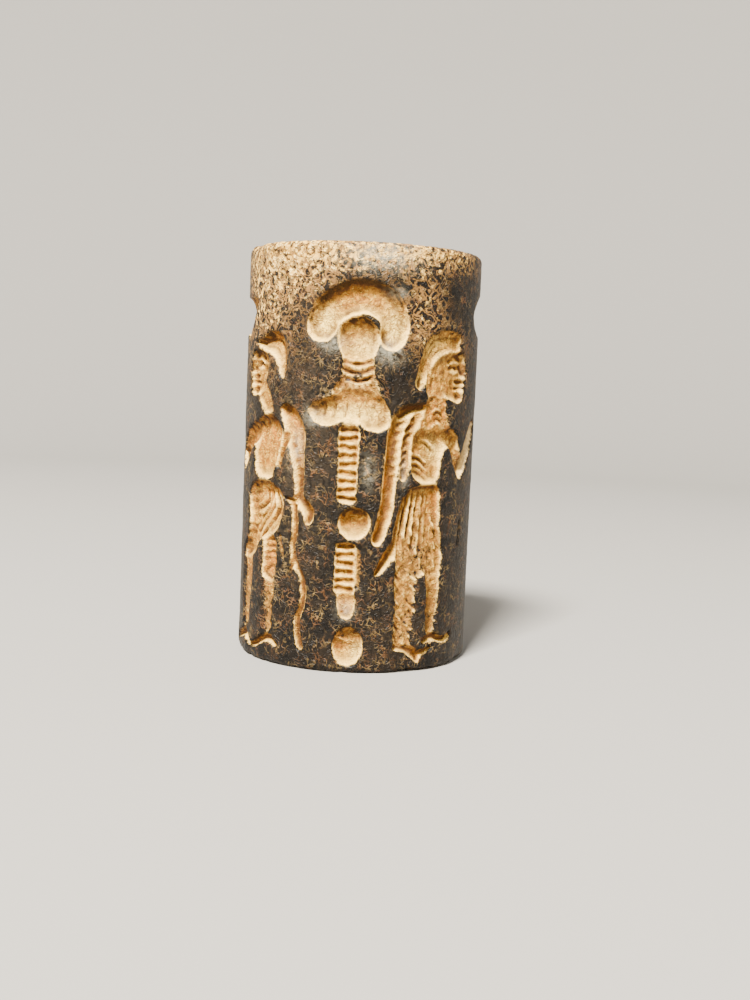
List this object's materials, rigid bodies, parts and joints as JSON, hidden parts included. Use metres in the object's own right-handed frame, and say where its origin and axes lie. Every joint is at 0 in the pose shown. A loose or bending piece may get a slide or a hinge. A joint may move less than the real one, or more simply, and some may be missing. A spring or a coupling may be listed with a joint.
{
  "type": "cylinder seal",
  "caption": "Small dark stone cylinder seal, pierced along its axis, with standing robed figures and a crescent-topped standard cut into its side.",
  "frame": {"origin": "centre of the lower flat end, on the axis", "axes": "+Z along the axis from the lower end to the upper one, so that the figures stand upright; the middle of the scene faces -Y"},
  "size_m": [0.018, 0.018, 0.0312],
  "materials": {
    "dark_stone": "worn, half-polished dark stone with pale earth left in the cuts"
  },
  "bodies": {
    "root": {"seal": "dark_stone"}
  },
  "joints": []
}
